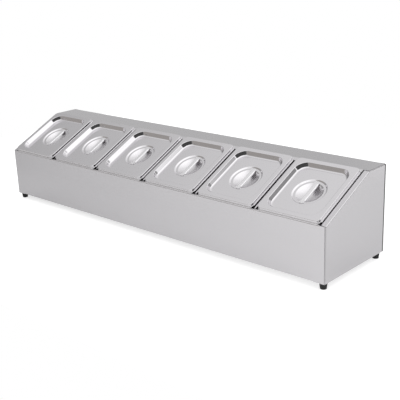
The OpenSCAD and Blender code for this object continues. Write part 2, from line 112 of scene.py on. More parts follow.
# Feet and fasteners
FOOT_H, FOOT_TOP_D, FOOT_END_D, FOOT_INSET = 15, 18, 14, 12.5
FOOT_END_R, FOOT_END_IN, FOOT_END_STEPS = 1.2, 1.02, 6
FOOT_TOP_R, FOOT_TOP_IN, FOOT_TOP_STEPS = 0.5, 0.6, 4
SCREW_D, HEAD_D, HOLE_CLEAR = 5, 8.5, 0.2
POCKET_H, POCKET_BEVEL = 5, 0.4
RIVET_HEAD_H = 1.3

# The rivets' heads reach furthest back, and the shared frame is centred on the CAD box
REAR_FACE = cad_box[1].y / MM - RIVET_HEAD_H
HOUSING = Matrix.Translation((0, REAR_FACE - BODY_D, FOOT_H))
DECK = HOUSING @ Matrix.Translation((0, 0, FRONT_H)) @ Matrix.Rotation(DECK_ANGLE, 4, "X")


def pan_x(i):
    return (i - (PAN_COUNT + 1) / 2) * PITCH


# Node helpers. Each adds nodes to a tree, and all but the last return the output with the result.


def add_math(tree, operation, *inputs, clamp=False):
    """Arithmetic on numbers or other nodes' outputs."""
    node = tree.nodes.new("ShaderNodeMath")
    node.operation = operation
    node.use_clamp = clamp
    for socket, value in zip(node.inputs, inputs):
        if isinstance(value, (int, float)):
            socket.default_value = value
        else:
            tree.links.new(value, socket)
    return node.outputs["Value"]


def add_rise(tree, value, start, end):
    """0 where a value is at its start, 1 from its end on."""
    reach = end - start
    return add_math(tree, "MULTIPLY_ADD", value, 1 / reach, -start / reach, clamp=True)


def add_mix(tree, factor, a, b):
    """Colour from a to b, each of them an output or a fixed colour."""
    node = tree.nodes.new("ShaderNodeMix")
    node.data_type = "RGBA"
    tree.links.new(factor, node.inputs["Factor"])
    for name, colour in (("A", a), ("B", b)):
        if isinstance(colour, tuple):
            node.inputs[name].default_value = (*colour, 1)
        else:
            tree.links.new(colour, node.inputs[name])
    return node.outputs["Result"]


def add_axes(tree, kind):
    """The x, y and z of a kind of texture coordinate."""
    place = tree.nodes.new("ShaderNodeTexCoord")
    split = tree.nodes.new("ShaderNodeSeparateXYZ")
    tree.links.new(place.outputs[kind], split.inputs["Vector"])
    return [split.outputs[axis] for axis in "XYZ"]


def add_reach(tree, kind, direction):
    """How far a kind of texture coordinate reaches in a fixed direction."""
    place = tree.nodes.new("ShaderNodeTexCoord")
    dot = tree.nodes.new("ShaderNodeVectorMath")
    dot.operation = "DOT_PRODUCT"
    tree.links.new(place.outputs[kind], dot.inputs[0])
    dot.inputs[1].default_value = direction
    return dot.outputs["Value"]


def add_noise(tree, stretch, scale, detail):
    """A noise field drawn out along the axes whose stretch is small."""
    place = tree.nodes.new("ShaderNodeTexCoord")
    mapping = tree.nodes.new("ShaderNodeMapping")
    mapping.inputs["Scale"].default_value = stretch
    noise = tree.nodes.new("ShaderNodeTexNoise")
    noise.inputs["Scale"].default_value = scale
    noise.inputs["Detail"].default_value = detail
    tree.links.new(place.outputs["Object"], mapping.inputs["Vector"])
    tree.links.new(mapping.outputs["Vector"], noise.inputs["Vector"])
    return noise.outputs["Fac"]


def add_spread(tree, noise, low, high):
    """The noise's usual range turned into values from low to high."""
    node = tree.nodes.new("ShaderNodeMapRange")
    values = zip(("From Min", "From Max", "To Min", "To Max"), (*NOISE_RANGE, low, high))
    for name, value in values:
        node.inputs[name].default_value = value
    tree.links.new(noise, node.inputs["Value"])
    return node.outputs["Result"]


def add_relief(tree, height, strength):
    """Fine relief on the tree's shader, from an output that says how high each place is."""
    node = tree.nodes.new("ShaderNodeBump")
    node.inputs["Strength"].default_value = strength
    node.inputs["Distance"].default_value = RELIEF_DEPTH
    tree.links.new(height, node.inputs["Height"])
    tree.links.new(node.outputs["Normal"], tree.nodes["Principled BSDF"].inputs["Normal"])


# Materials. Noise scales are per metre, and a grain runs along the axis with the small stretch.

NOISE_RANGE = (0.3, 0.7)
RELIEF_DEPTH = 0.0002
EVEN = (1, 1, 1)
ALONG = (0.02, 1, 1)
UPRIGHT = (1, 1, 0.02)
PAN_GRAIN = (1, 1, 0.1)
STRAP_GRAIN = (1, 0.03, 1)
# Brushed grain and clouds: scale and detail of the noise, and how far each moves the roughness
GRAIN, GRAIN_GLOSS = (4000, 3), 0.03
CLOUDS, CLOUD_GLOSS = (14, 2), 0.01
# Shares of the base colour between which the grain varies
GRAIN_TINTS = (0.96, 1.03)
STEEL = (0.62, 0.608, 0.625)
LID_STEEL = (0.66, 0.647, 0.665)
# The straps' steel is lighter than the lids' as a painted highlight, standing in for the straps' bright
# highlights
STRAP_STEEL_LIGHTENED = (0.8, 0.79, 0.805)
INNER_STEEL = (0.55, 0.55, 0.55)
ZINC = (0.6, 0.61, 0.62)
RUBBER = (0.012, 0.012, 0.013)
RUBBER_ROUGH, RUBBER_GRAIN, RUBBER_RELIEF = (0.5, 0.7), (900, 3), 0.15
# The lids' bowls: added roughness, and the shares of their depth between which it sets in
BOWL_ROUGH = 0.14
BOWL_FADE = (0.1, 0.35)
# Painted shade line by the rear edge: millimetres from the rear face where it begins, is full, fades, is
# gone
REAR_SHADE_SPAN = (7.2, 6.6, 3.0, 2.4)
REAR_SHADE_COLOUR = (0.06, 0.06, 0.06)


def new_material(name, base, rough, metallic=1.0):
    material = bpy.data.materials.new(name)
    material.use_nodes = True
    shader = material.node_tree.nodes["Principled BSDF"]
    shader.inputs["Base Color"].default_value = (*base, 1)
    shader.inputs["Roughness"].default_value = rough
    shader.inputs["Metallic"].default_value = metallic
    return material, shader


def brushed(name, base, rough, stretch, relief):
    """Stainless sheet with a fine brushed grain and faint cloudy changes of gloss."""
    material, shader = new_material(name, base, rough)
    tree = material.node_tree
    lines = add_noise(tree, stretch, *GRAIN)
    clouds = add_noise(tree, EVEN, *CLOUDS)
    lines_gloss = add_spread(tree, lines, rough - GRAIN_GLOSS, rough + GRAIN_GLOSS)
    clouds_gloss = add_spread(tree, clouds, -CLOUD_GLOSS, CLOUD_GLOSS)
    tree.links.new(add_math(tree, "ADD", lines_gloss, clouds_gloss), shader.inputs["Roughness"])
    dull, bright = (tuple(min(1, c * share) for c in base) for share in GRAIN_TINTS)
    tree.links.new(add_mix(tree, lines, dull, bright), shader.inputs["Base Color"])
    add_relief(tree, lines, relief)
    return material


def soften_bowls(material):
    """Rougher steel in the lids' bowls, told by their depth below the deck."""
    tree = material.node_tree
    roughness = tree.nodes["Principled BSDF"].inputs["Roughness"]
    gloss = roughness.links[0].from_socket
    up = DECK.col[2].xyz
    ledge = DECK.translation.dot(up) + LEDGE_Z
    start, end = ((ledge - BOWL_DEPTH * share) * MM for share in BOWL_FADE)
    deep = add_rise(tree, add_reach(tree, "Object", up), start, end)
    tree.links.new(add_math(tree, "MULTIPLY_ADD", deep, BOWL_ROUGH, gloss), roughness)


def paint_rear_edge_shade(material):
    """Painted shade: a dark line down the rear edge of the side panels."""
    tree = material.node_tree
    colour = tree.nodes["Principled BSDF"].inputs["Base Color"]
    steel = colour.links[0].from_socket
    _, y, _ = add_axes(tree, "Object")
    begins, full, fades, gone = ((REAR_FACE - inward) * MM for inward in REAR_SHADE_SPAN)
    rise, fall = add_rise(tree, y, begins, full), add_rise(tree, y, fades, gone)
    line = add_math(tree, "SUBTRACT", rise, fall, clamp=True)
    tree.links.new(add_mix(tree, line, steel, REAR_SHADE_COLOUR), colour)


def rubber_material():
    material, shader = new_material("foot rubber", RUBBER, sum(RUBBER_ROUGH) / 2, 0.0)
    tree = material.node_tree
    grain = add_noise(tree, EVEN, *RUBBER_GRAIN)
    tree.links.new(add_spread(tree, grain, *RUBBER_ROUGH), shader.inputs["Roughness"])
    add_relief(tree, grain, RUBBER_RELIEF)
    return material


housing_steel = brushed("housing steel", STEEL, rough=0.18, stretch=ALONG, relief=0.015)
side_steel = brushed("side panel steel", STEEL, rough=0.2, stretch=UPRIGHT, relief=0.015)
inner_steel = brushed("base panel steel", INNER_STEEL, rough=0.36, stretch=ALONG, relief=0.04)
pan_steel = brushed("pan steel", STEEL, rough=0.15, stretch=PAN_GRAIN, relief=0.02)
lid_steel = brushed("lid steel", LID_STEEL, rough=0.1, stretch=ALONG, relief=0.004)
# Lighter steel on the straps: a painted highlight
strap_steel_lightened = brushed("strap steel lightened for highlights", STRAP_STEEL_LIGHTENED, rough=0.36, stretch=STRAP_GRAIN, relief=0.01)
zinc = brushed("plated fastener steel", ZINC, rough=0.3, stretch=EVEN, relief=0.02)
rubber = rubber_material()
soften_bowls(lid_steel)
# Paints a dark line of shade down the side panels' rear edge
paint_rear_edge_shade(side_steel)


# Meshes


def make_object(name, mesh, place, material, body, nodes):
    """Places a mesh that is still in millimetres, dresses it and hands it to the frame."""
    mesh.transform(Matrix.Scale(MM, 4) @ place)
    work = bmesh.new()
    work.from_mesh(mesh)
    bmesh.ops.recalc_face_normals(work, faces=work.faces)
    work.to_mesh(mesh)
    work.free()
    mesh.shade_smooth()
    mesh.set_sharp_from_angle(angle=SHARP)
    mesh.materials.append(material)
    piece = bpy.data.objects.new(name, mesh)
    bpy.context.scene.collection.objects.link(piece)
    normals = piece.modifiers.new("normals", "WEIGHTED_NORMAL")
    normals.keep_sharp = True
    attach(piece, body)
    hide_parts(*nodes)


def mesh_of(points, faces):
    mesh = bpy.data.meshes.new("sheet")
    mesh.from_pydata(points, [], faces)
    return mesh


def sheet_mesh(pairs, faces):
    """Closed mesh of a sheet, from each point's place on its two sides and the faces of one side."""
    count = len(pairs)
    points = [p for p, _ in pairs] + [q for _, q in pairs]
    edges = {(f[k - 1], f[k]) for f in faces for k in range(len(f))}
    back = [[count + i for i in reversed(f)] for f in faces]
    rim = [(b, a, count + a, count + b) for a, b in sorted(edges) if (b, a) not in edges]
    return mesh_of(points, [*faces, *back, *rim])


def bend(centre, near_r, far_r, start, end, steps=BEND_STEPS):
    """Pairs of section points of a bend, from its start to its end angle in degrees."""
    pairs = []
    for k in range(steps + 1):
        a = math.radians(start + (end - start) * k / steps)
        x, y = math.cos(a), math.sin(a)
        pairs.append((
            (centre[0] + near_r * x, centre[1] + near_r * y),
            (centre[0] + far_r * x, centre[1] + far_r * y),
        ))
    return pairs


# Pressed parts


def round_ring(half_x, half_y, r, z):
    """Rounded rectangle at height z, anticlockwise."""
    points = []
    for k, (sx, sy) in enumerate(((1, 1), (-1, 1), (-1, -1), (1, -1))):
        for j in range(CORNER_STEPS + 1):
            a = math.radians(90 * (k + j / CORNER_STEPS))
            points.append((
                sx * (half_x - r) + r * math.cos(a),
                sy * (half_y - r) + r * math.sin(a),
                z,
            ))
    return points


def circle_ring(r, z):
    """Circle with as many points as a rounded rectangle, and in line with them."""
    count = 4 * (CORNER_STEPS + 1)
    turns = [2 * math.pi * (j + 0.5) / count for j in range(count)]
    return [(r * math.cos(a), r * math.sin(a), z) for a in turns]


def rings_round(size, r, section):
    """Ring pairs of a section that runs round a rounded rectangle, x outward from its edge."""
    return [
        [round_ring(size[0] / 2 + x, size[1] / 2 + x, r + x, z) for x, z in pair]
        for pair in section
    ]


def rings_circle(r, section):
    return [[circle_ring(r + x, z) for x, z in pair] for pair in section]


def pressed_mesh(middle, rings):
    """Closed mesh of a pressed sheet, from its middle point's pair and its ring pairs outward."""
    count = len(rings[0][0])
    pairs = [middle]
    for near, far in rings:
        pairs += zip(near, far)
    faces = [(0, 1 + j, 1 + (j + 1) % count) for j in range(count)]
    for k in range(len(rings) - 1):
        a = 1 + k * count
        b = a + count
        for j in range(count):
            n = (j + 1) % count
            faces.append((a + j, b + j, b + n, a + n))
    return sheet_mesh(pairs, faces)


def foot_place(depth, draft, lip_r, foot_r):
    """Where a sloping wall's foot starts, inward from the wall's upper edge."""
    d = math.radians(draft)
    drop = depth - (lip_r + foot_r) * (1 - math.sin(d))
    return lip_r * (1 - math.cos(d)) - drop * math.tan(d) - foot_r * math.cos(d)


def drop_section(z, depth, t, draft, lip_r, foot_r):
    """Section of a wall from the foot's start up to the flat at height z."""
    foot_x = foot_place(depth, draft, lip_r, foot_r)
    foot = bend((foot_x, z - depth + foot_r), foot_r, foot_r + t, -90, -draft)
    lip = bend((lip_r, z - lip_r), lip_r, lip_r - t, 180 - draft, 90)
    return foot + lip


def edge_section(z, low, t, r):
    """Section of a turned-down edge, inward from the outline."""
    return bend((-r, z - r), r, r - t, 90, 0) + [((0, low), (-t, low))]


def pan_mesh():
    mouth = (PAN_W - 2 * RIM_W, PAN_L - 2 * RIM_W)
    wall = drop_section(RIM_Z, PAN_DEPTH - PAN_T, PAN_T, PAN_DRAFT, PAN_LIP_R, PAN_FLOOR_R)
    edge = edge_section(RIM_Z, SEAT_GAP, PAN_T, PAN_EDGE_R)
    rings = rings_round(mouth, MOUTH_CORNER_R, wall)
    rings += rings_round((PAN_W, PAN_L), RIM_CORNER_R, edge)
    floor = RIM_Z - PAN_DEPTH + PAN_T
    return pressed_mesh(((0, 0, floor), (0, 0, floor - PAN_T)), rings)


def bowl_rings():
    """The bowl from its bottom to the ledge, with a soft bend at its mouth."""
    mouth_r = BOWL_D / 2
    curve_r = (mouth_r**2 + BOWL_DEPTH**2) / (2 * BOWL_DEPTH)
    rim_angle = math.asin(mouth_r / curve_r)
    set_in = MOUTH_BEND_R * math.tan(rim_angle / 2)
    last = math.degrees(rim_angle - set_in / curve_r)
    centre = (0, LEDGE_Z - BOWL_DEPTH + curve_r)
    bowl = bend(centre, curve_r, curve_r + LID_T, -90, last - 90, BOWL_STEPS)[1:]
    mouth = bend(
        (mouth_r + set_in, LEDGE_Z - MOUTH_BEND_R),
        MOUTH_BEND_R, MOUTH_BEND_R - LID_T, 90 + math.degrees(rim_angle), 90,
    )
    return rings_circle(0, bowl + mouth)


def lid_mesh():
    dish = drop_section(FLOOR_Z, DISH_STEP, LID_T, DISH_DRAFT, DISH_LIP_R, DISH_FOOT_R)
    wall = drop_section(LID_Z, RECESS_DEPTH, LID_T, RECESS_DRAFT, RECESS_LIP_R, RECESS_FOOT_R)
    edge = edge_section(LID_Z, RIM_Z + SEAT_GAP, LID_T, LID_EDGE_R)
    rings = [[[(x, y - DISH_SLIP, z) for x, y, z in side] for side in pair]
             for pair in bowl_rings() + rings_circle(DISH_D / 2, dish)]
    rings += rings_round((RECESS_W, RECESS_L), RECESS_CORNER_R, wall)
    rings += rings_round((LID_W, LID_L), LID_CORNER_R, edge)
    bottom = LEDGE_Z - BOWL_DEPTH
    return pressed_mesh(((0, -DISH_SLIP, bottom), (0, -DISH_SLIP, bottom - LID_T)), rings)


# Folded parts. A fold is (angle in degrees, width beyond the bend, trim at each end).


def crossing(p, d, q, e):
    return p + d * ((q - p).cross(e) / d.cross(e))


class Panel:
    """Flat plate with folded edges. Its outer face is at z = 0 and it folds towards +z."""

    def __init__(self, outline, folds):
        self.corners = [Vector(p) for p in outline]
        self.folds = folds
        self.pairs = []
        self.faces = []

    def corner(self, i):
        return self.corners[i % len(self.corners)]

    def along(self, i):
        return (self.corner(i + 1) - self.corner(i)).normalized()

    def outward(self, i):
        d = self.along(i)
        return Vector((d.y, -d.x))

    def setback(self, i):
        angle = self.folds[i % len(self.folds)][0]
        return BEND_R * math.tan(math.radians(angle) / 2)

    def inner_corner(self, i):
        p = self.corner(i)
        return crossing(
            p - self.outward(i - 1) * self.setback(i - 1), self.along(i - 1),
            p - self.outward(i) * self.setback(i), self.along(i),
        )

    def add(self, near, far):
        self.pairs.append((tuple(near), tuple(far)))
        return len(self.pairs) - 1

    def plate_point(self, p):
        return self.add((p.x, p.y, 0), (p.x, p.y, SHEET_T))

    def fold(self, i, comb):
        """Adds a fold's faces and returns the plate's points along it."""
        angle, width, trim = self.folds[i]
        d, out = self.along(i), self.outward(i)
        if trim:
            a = self.corner(i) + d * trim - out * self.setback(i)
            b = self.corner(i + 1) - d * trim - out * self.setback(i)
            lean_a = lean_b = 0
            gap = 0
        else:
            a, b = self.inner_corner(i), self.inner_corner(i + 1)
            to_a, to_b = self.corner(i) - a, self.corner(i + 1) - b
            lean_a, lean_b = to_a.dot(d) / to_a.dot(out), to_b.dot(d) / to_b.dot(out)
            gap = MITRE_GAP / 2
        section = bend((0, BEND_R), BEND_R, BEND_R - SHEET_T, -90, angle - 90)
        turn = math.radians(angle)
        flat = (width * math.cos(turn), width * math.sin(turn))
        section.append(tuple((x + flat[0], z + flat[1]) for x, z in section[-1]))
        rows = []
        for pair in section:
            ends = []
            for start, lean, step in ((a, lean_a, gap), (b, lean_b, -gap)):
                places = [(start + out * x + d * (lean * x + step), z) for x, z in pair]
                ends.append(self.add(*[(p.x, p.y, z) for p, z in places]))
            rows.append(ends)
        for near, far in zip(rows[:-2], rows[1:-1]):
            self.faces.append((near[0], far[0], far[1], near[1]))
        self.flat_face(rows[-2], rows[-1], comb, d)
        lead = [] if trim == 0 else [self.plate_point(self.corner(i) + d * trim)]
        tail = [] if trim == 0 else [self.plate_point(self.corner(i + 1) - d * trim)]
        first = self.plate_point(self.corner(i)) if trim else self.plate_point(a)
        return [first, *lead, *rows[0], *tail]

    def flat_face(self, root, tip, comb, d):
        """The fold's flat, cut back between the comb's tabs to the share of its width given."""
        if not comb:
            self.faces.append((root[0], tip[0], tip[1], root[1]))
            return
        tabs, share = comb
        ends = [[Vector(p) for p in self.pairs[k]] for k in (*root, *tip)]
        first = ends[0][0].to_2d().dot(d)
        length = ends[1][0].to_2d().dot(d) - first
        far_side = []
        for lo, hi in tabs:
            for place, level in ((lo, share), (lo, 1), (hi, 1), (hi, share)):
                s = min(1, max(0, (place - first) / length))
                far_side.append((s, level))
        points = []
        for s, level in far_side:
            near = [ends[0][k].lerp(ends[1][k], s) for k in (0, 1)]
            far = [ends[2][k].lerp(ends[3][k], s) for k in (0, 1)]
            points.append(self.add(*[near[k].lerp(far[k], level) for k in (0, 1)]))
        corner_a = self.add(*[ends[0][k].lerp(ends[2][k], share) for k in (0, 1)])
        corner_b = self.add(*[ends[1][k].lerp(ends[3][k], share) for k in (0, 1)])
        self.faces.append((root[0], corner_a, *points, corner_b, root[1]))

    def mesh(self, combs=None):
        plate = []
        for i, fold in enumerate(self.folds):
            if fold[0]:
                plate += self.fold(i, (combs or {}).get(i))
            else:
                plate.append(self.plate_point(self.corner(i)))
        self.faces.append(plate)
        return sheet_mesh(self.pairs, self.faces)


def ledge_tabs():
    """From where to where along the rail the front ledge reaches under the pans and the bars."""
    bar_half = BAR_W / 2 - BAR_BEND_R
    spans = [(pan_x(i) - LEDGE_TAB_L / 2, pan_x(i) + LEDGE_TAB_L / 2) for i in range(1, PAN_COUNT + 1)]
    for i in range(1, PAN_COUNT):
        x = pan_x(i) + PITCH / 2
        spans.append((x - bar_half, x + bar_half))
    return sorted(spans)


def front_panel_mesh():
    outline = [(-PANEL_HALF_L, 0), (PANEL_HALF_L, 0), (PANEL_HALF_L, FRONT_H), (-PANEL_HALF_L, FRONT_H)]
    panel = Panel(outline, [
        (90, BOTTOM_FLANGE_W - BEND_R, BOTTOM_FLANGE_W + PANEL_GAP - BEND_R),
        (0, 0, 0),
        (90 - math.degrees(DECK_ANGLE), FRONT_LEDGE_W, PANEL_HALF_L - DECK_HALF_L),
        (0, 0, 0),
    ])
    tabs = [(-hi, -lo) for lo, hi in reversed(ledge_tabs())]
    return panel.mesh({2: (tabs, LEDGE_ROOT_W / FRONT_LEDGE_W)})


def top_shelf_mesh():
    back, front = -(BODY_D - SHEET_T), -(BODY_D - SHELF_D)
    outline = [(-PANEL_HALF_L, back), (PANEL_HALF_L, back), (PANEL_HALF_L, front), (-PANEL_HALF_L, front)]
    panel = Panel(outline, [
        (90, HIDDEN_FLANGE_W - BEND_R, HIDDEN_FLANGE_W + PANEL_GAP - BEND_R),
        (0, 0, 0),
        (math.degrees(DECK_ANGLE), REAR_LEDGE_W, PANEL_HALF_L - DECK_HALF_L),
        (0, 0, 0),
    ])
    return panel.mesh()


def side_panel_mesh():
    low_y, high_y, top_z = SHEET_T, BODY_D - SHEET_T, REAR_H - SHEET_T
    slope = math.tan(DECK_ANGLE)
    outline = [
        (low_y, 0), (high_y, 0), (high_y, top_z),
        ((top_z - FRONT_H) / slope, top_z), (low_y, FRONT_H + low_y * slope),
    ]
    hidden = (90, HIDDEN_FLANGE_W - BEND_R, 0)
    bottom = (90, BOTTOM_FLANGE_W - BEND_R, 0)
    deck_strip = (90, DECK_STRIP_W - BEND_R, 0)
    return Panel(outline, [bottom, hidden, hidden, deck_strip, hidden]).mesh()


def back_panel_mesh():
    top = REAR_H - BEND_R
    outline = [(-PANEL_HALF_L, 0), (PANEL_HALF_L, 0), (PANEL_HALF_L, top), (-PANEL_HALF_L, top)]
    trim = BOTTOM_FLANGE_W + PANEL_GAP - BEND_R
    return Panel(outline, [(90, BOTTOM_FLANGE_W - BEND_R, trim), (0, 0, 0), (0, 0, 0), (0, 0, 0)]).mesh()


def strip_mesh(stations):
    """Sheet through a row of sections along y: each station is (y, section pairs)."""
    pairs, faces = [], []
    width = len(stations[0][1])
    for y, section in stations:
        pairs += [((near[0], y, near[1]), (far[0], y, far[1])) for near, far in section]
    for k in range(len(stations) - 1):
        for j in range(width - 1):
            a = k * width + j
            faces.append((a, a + 1, a + width + 1, a + width))
    return sheet_mesh(pairs, faces)


def channel_section(w, t, r, side, angle=90.0):
    """Section of a strip with both edges turned down by an angle, with its top at z = t."""
    bent = bend((w / 2 - r, t - r), r, r - t, 90, 90 - angle)
    turn = math.radians(angle)
    step = (side * math.cos(turn), -side * math.sin(turn))
    bent.append(tuple((x + step[0], z + step[1]) for x, z in bent[-1]))
    left = [tuple((-x, z) for x, z in pair) for pair in reversed(bent)]
    return left + bent


def divider_bar_mesh():
    """Full section under the lids and the bare flat top on the ledges at both ends."""
    end_in = BEND_R * math.tan((math.pi / 2 - DECK_ANGLE) / 2) + PANEL_GAP
    side_in = end_in + max(FRONT_LEDGE_W, REAR_LEDGE_W)
    section = channel_section(BAR_W, SHEET_T, BAR_BEND_R, BAR_SIDE_H + SHEET_T - BAR_BEND_R)
    width = len(section)
    pairs = []
    for y in (side_in, DECK_L - side_in):
        pairs += [((near[0], y, near[1]), (far[0], y, far[1])) for near, far in section]
    faces = [(j, j + 1, width + j + 1, width + j) for j in range(width - 1)]
    flat_half = BAR_W / 2 - BAR_BEND_R + TOLERANCE
    on_top = [k for k, (near, _) in enumerate(section) if abs(near[0]) <= flat_half]
    left, right = on_top[0], on_top[-1]
    for row, y in ((0, end_in), (width, DECK_L - end_in)):
        first = len(pairs)
        for k in (left, right):
            near, far = section[k]
            pairs.append(((near[0], y, near[1]), (far[0], y, far[1])))
        face = (row + left, row + right, first + 1, first)
        faces.append(face if row else tuple(reversed(face)))
    return sheet_mesh(pairs, faces)


def strap_mesh():
    """Strap whose turned-down sides run out into flat ends with rounded corners."""
    half = DISH_D / 2 + foot_place(DISH_STEP, DISH_DRAFT, DISH_LIP_R, DISH_FOOT_R) - STRAP_END_IN
    side_half = half - STRAP_FLAT_L
    stations = [(side_half, 1.0, 1.0)]
    for k in range(1, STRAP_FADE_STEPS + 1):
        share = k / STRAP_FADE_STEPS
        stations.append((side_half + STRAP_FADE_L * share, (1 + math.cos(math.pi * share)) / 2, 1.0))
    for k in range(CORNER_STEPS):
        a = math.radians(90 * k / CORNER_STEPS)
        y = half - STRAP_CORNER_R + STRAP_CORNER_R * math.sin(a)
        x = STRAP_W / 2 - STRAP_CORNER_R + STRAP_CORNER_R * math.cos(a)
        stations.append((y, 0.0, x / (STRAP_W / 2)))
    stations.append((half, 0.0, 1 - 2 * STRAP_CORNER_R / STRAP_W))
    rows = []
    # Each station: place along the strap, how far its sides are turned down, share of its width
    for y, turned, narrow in stations:
        side = STRAP_SIDE_H - STRAP_BEND_R if turned == 1 else 0
        side = side + (1 - turned) * (STRAP_BEND_R - side)
        section = channel_section(STRAP_W, STRAP_T, STRAP_BEND_R, side, 90 * turned)
        rows.append((y, [tuple((x * narrow, z) for x, z in pair) for pair in section]))
    mirrored = [(-y, section) for y, section in reversed(rows)]
    return strip_mesh(mirrored + rows)


# Turned parts


def lathe_mesh(profile):
    """Closed ring of revolution about z, from its section's points in order."""
    points, faces = [], []
    for r, z in profile:
        for j in range(TURN_STEPS):
            a = 2 * math.pi * j / TURN_STEPS
            points.append((r * math.cos(a), r * math.sin(a), z))
    for k in range(len(profile)):
        a, b = k * TURN_STEPS, (k + 1) % len(profile) * TURN_STEPS
        for j in range(TURN_STEPS):
            n = (j + 1) % TURN_STEPS
            faces.append((a + j, a + n, b + n, b + j))
    return mesh_of(points, faces)


def foot_places():
    x = BODY_L / 2 - FOOT_INSET
    names = ("front_left", "front_right", "rear_left", "rear_right")
    spots = ((-x, FOOT_INSET), (x, FOOT_INSET), (-x, BODY_D - FOOT_INSET), (x, BODY_D - FOOT_INSET))
    return dict(zip(names, spots))


def foot_mesh():
    """Moulded bumper with rounded edges and a pocket for its screw's head."""
    hole_r, pocket_r = SCREW_D / 2 + HOLE_CLEAR, HEAD_D / 2 + HOLE_CLEAR
    lean = math.degrees(math.atan2((FOOT_TOP_D - FOOT_END_D) / 2, FOOT_H))
    outer = []
    for k in range(FOOT_END_STEPS + 1):
        a = math.radians(-90 + (90 - lean) * k / FOOT_END_STEPS)
        x = FOOT_END_D / 2 - FOOT_END_IN + FOOT_END_R * math.cos(a)
        outer.append((x, -FOOT_H + FOOT_END_R + FOOT_END_R * math.sin(a)))
    for k in range(FOOT_TOP_STEPS + 1):
        a = math.radians(90 * k / FOOT_TOP_STEPS)
        x = FOOT_TOP_D / 2 - FOOT_TOP_IN + FOOT_TOP_R * math.cos(a)
        outer.append((x, -FOOT_TOP_R + FOOT_TOP_R * math.sin(a)))
    inner = [
        (hole_r, 0), (hole_r, POCKET_H - FOOT_H), (pocket_r, POCKET_H - FOOT_H),
        (pocket_r, -FOOT_H + POCKET_BEVEL), (pocket_r + POCKET_BEVEL, -FOOT_H),
    ]
    return lathe_mesh(outer + inner)


# Pieces


def add_housing():
    upright = Matrix.Rotation(math.pi / 2, 4, "X")
    sideways = Matrix(((0, 0, 1, 0), (1, 0, 0, 0), (0, 1, 0, 0), (0, 0, 0, 1)))
    to_front = Matrix.Rotation(math.pi, 4, "Z") @ upright
    to_top = Matrix.Translation((0, 0, REAR_H)) @ Matrix.Rotation(math.pi, 4, "X")
    to_back = Matrix.Translation((0, BODY_D, 0)) @ upright
    to_left = Matrix.Translation((-BODY_L / 2, 0, 0)) @ sideways
    flip = Matrix.Diagonal((-1, 1, 1, 1))
    pieces = [
        ("front_panel", front_panel_mesh(), HOUSING @ to_front, housing_steel),
        ("top_shelf", top_shelf_mesh(), HOUSING @ to_top, housing_steel),
        ("back_panel", back_panel_mesh(), HOUSING @ to_back, housing_steel),
        ("left_side_panel", side_panel_mesh(), HOUSING @ to_left, side_steel),
        ("right_side_panel", side_panel_mesh(), flip @ HOUSING @ to_left, side_steel),
    ]
    for i in range(1, PAN_COUNT):
        place = DECK @ Matrix.Translation((pan_x(i) + PITCH / 2, 0, 0))
        pieces.append((f"divider_bar_{i}", divider_bar_mesh(), place, housing_steel))
    for name, mesh, place, material in pieces:
        make_object(f"{name}_look", mesh, place, material, "housing", [name])


def add_pans_and_lids():
    for i in range(1, PAN_COUNT + 1):
        at_pan = DECK @ Matrix.Translation((pan_x(i), PAN_MID, 0))
        at_lid = DECK @ Matrix.Translation((pan_x(i), LID_MID, 0))
        at_strap = at_lid @ Matrix.Translation((0, -DISH_SLIP, LEDGE_Z))
        pieces = (
            (f"pan_{i}", pan_mesh(), at_pan, pan_steel, f"pan_{i}_body", "pan_steel"),
            (f"lid_{i}", lid_mesh(), at_lid, lid_steel, f"lid_{i}_body", "lid_steel"),
            (f"lid_handle_{i}", strap_mesh(), at_strap, strap_steel_lightened, f"lid_{i}_body", "handle_steel"),
        )
        for name, mesh, place, material, body, slot in pieces:
            make_object(f"{name}_look", mesh, place, material, body, [name])


def add_feet():
    for name, (x, y) in foot_places().items():
        place = HOUSING @ Matrix.Translation((x, y, 0))
        node = f"foot_{name}"
        make_object(f"{node}_look", foot_mesh(), place, rubber, "housing", [node])


def dress_cad_nodes():
    """Materials of the CAD nodes that are shown as they are."""
    for name, material, slot in (
        ("base_panel", inner_steel, "plain_steel"),
        ("foot_screws", zinc, "fastener_steel"),
        ("foot_washers", zinc, "fastener_steel"),
        ("foot_nuts", zinc, "fastener_steel"),
        ("back_panel_rivets", zinc, "fastener_steel"),
    ):
        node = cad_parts[name]
        node.data.materials.clear()
        node.data.materials.append(material)


# Floor, camera and light, in metres


def gray(level):
    return (level, level, level)


# Left, right, front and rear edge of the floor
FLOOR_EDGES = (-1.2, 1.2, -0.56, 1.2)
FLOOR_LEVEL, FLOOR_ROUGH = 0.6, 0.9
# Emission that lifts the floor to white where the camera sees it
CAMERA_LIFT = 0.66
# Glow of the floor as the steel mirrors it: at the middle, its gain per metre in x and y, its most
POOL, POOL_MOST = (0.129, 0.283, -0.563), 0.45
# More glow close to the front: from where to where in y, how much, and its share beside the rail
NEAR_Y, NEAR_GLOW, NEAR_BESIDE = (-0.32, -0.13), 0.12, 0.1
# The right end: where it begins in x, the glow behind it per metre, and where in y it fades in front
RIGHT_X, RIGHT_GLOW, RIGHT_FADE_Y = (0.52, 0.56), 0.4, (-0.11, -0.16)

CAMERA_PLACE = (1.34818, -1.35121, 0.69422)
CAMERA_YAW, CAMERA_PITCH, CAMERA_ROLL = -0.75305, 0.32068, -0.04021
CAMERA_LENS, CAMERA_SENSOR_W = 71.291, 36

# Brightness of the studio against how far a direction points to the right
WORLD_LEVELS = (
    (-1, 0.38), (-0.88, 0.48), (-0.7, 0.84), (-0.6, 0.94), (-0.4, 1.0), (0, 1.2), (0.25, 1.45), (0.6, 1.6),
)
# How much less a direction counts as right of the rail when it points up and to the rear
REAR_TURN = 0.45
